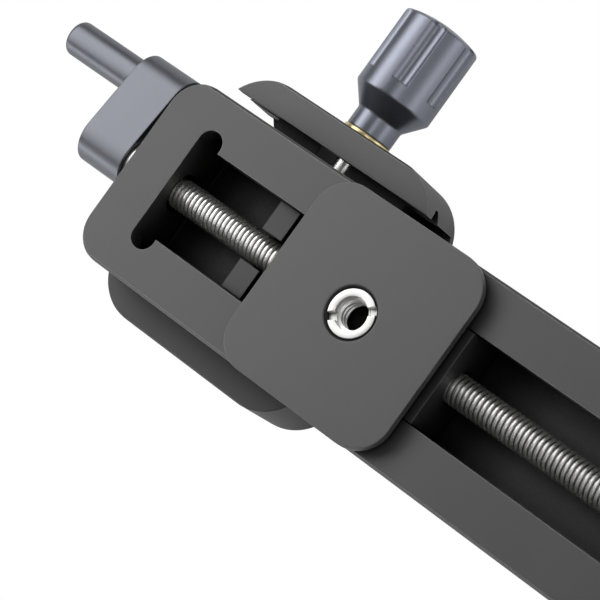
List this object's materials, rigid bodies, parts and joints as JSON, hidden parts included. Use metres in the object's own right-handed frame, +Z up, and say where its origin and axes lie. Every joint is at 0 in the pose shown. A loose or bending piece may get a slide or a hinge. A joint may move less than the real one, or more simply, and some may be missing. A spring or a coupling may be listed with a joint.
{
  "type": "macro focusing rail",
  "caption": "Screw-driven focusing rail with a crank, a square carriage plate with a camera thread, and a quick-release dovetail clamp with a fluted knob.",
  "frame": {"origin": "centre of the tripod socket's mouth in the clamp's underside", "axes": "+X along the rail away from the crank, +Y towards the clamp knob, +Z up through the carriage plate"},
  "size_m": [0.1912, 0.0786, 0.033],
  "materials": {
    "anodised_grey": "satin bead-blasted anodised",
    "anodised_plate": "satin bead-blasted anodised",
    "anodised_dark": "satin anodised",
    "anodised_blue": "semi-gloss anodised blue-grey",
    "anodised_knob": "semi-gloss anodised blue-grey",
    "steel": "turned",
    "bush_steel": "bright",
    "bronze": "sintered, satin",
    "brass": "turned",
    "black_steel": "black oxide",
    "spring_steel": "bright wire",
    "slide_plastic": "matt"
  },
  "bodies": {
    "clamp": {"clamp_base": "anodised_dark", "tripod_bush": "bush_steel", "guide_pins": "steel", "jaw_springs": "spring_steel"},
    "jaw": {"moving_jaw": "anodised_grey"},
    "knob": {"clamp_knob": "anodised_knob", "clamp_screw": "steel", "knob_washer": "brass", "knob_set_screw": "black_steel"},
    "rail": {"rail_body": "anodised_grey", "front_bearing": "bronze", "rear_bearing": "bronze"},
    "spindle": {"lead_screw": "steel", "thrust_washer": "steel", "crank_arm": "anodised_blue", "crank_set_screw": "black_steel", "grip_axle": "steel", "grip_clip": "spring_steel"},
    "grip": {"crank_grip": "anodised_blue"},
    "carriage": {"carriage_plate": "anodised_plate", "carriage_shoe": "anodised_dark", "glide_strips": "slide_plastic", "lead_nut": "brass", "nut_set_screw": "black_steel", "carriage_screws": "black_steel", "camera_bush": "bush_steel"}
  },
  "joints": [
    {"name": "rail_slide", "type": "slide", "parent": "clamp", "child": "rail", "axis": [1, 0, 0], "range_m": [-0.108, 0.002]},
    {"name": "crank_turn", "type": "hinge", "parent": "rail", "child": "spindle", "pos_m": [-0.0261, 0, 0.02055], "axis": [1, 0, 0], "range_deg": [-26300, 7220]},
    {"name": "carriage_slide", "type": "slide", "parent": "rail", "child": "carriage", "axis": [1, 0, 0], "range_m": [-0.02, 0.073]},
    {"name": "grip_spin", "type": "hinge", "parent": "spindle", "child": "grip", "pos_m": [-0.0445, 0.01297, 0.01873], "axis": [1, 0, 0], "continuous": true},
    {"name": "jaw_slide", "type": "slide", "parent": "clamp", "child": "jaw", "axis": [0, 1, 0], "range_m": [-0.0048, 0.0008], "deforming": ["jaw_springs"]},
    {"name": "knob_turn", "type": "hinge", "parent": "jaw", "child": "knob", "pos_m": [-0.0004, 0.035, 0.0054], "axis": [0, 1, 0], "range_deg": [-2170, 365]}
  ],
  "couplings": [
    {"joint": "crank_turn", "follows": "carriage_slide", "rad_per_m": -6283.2},
    {"joint": "knob_turn", "follows": "jaw_slide", "rad_per_m": 7854}
  ]
}
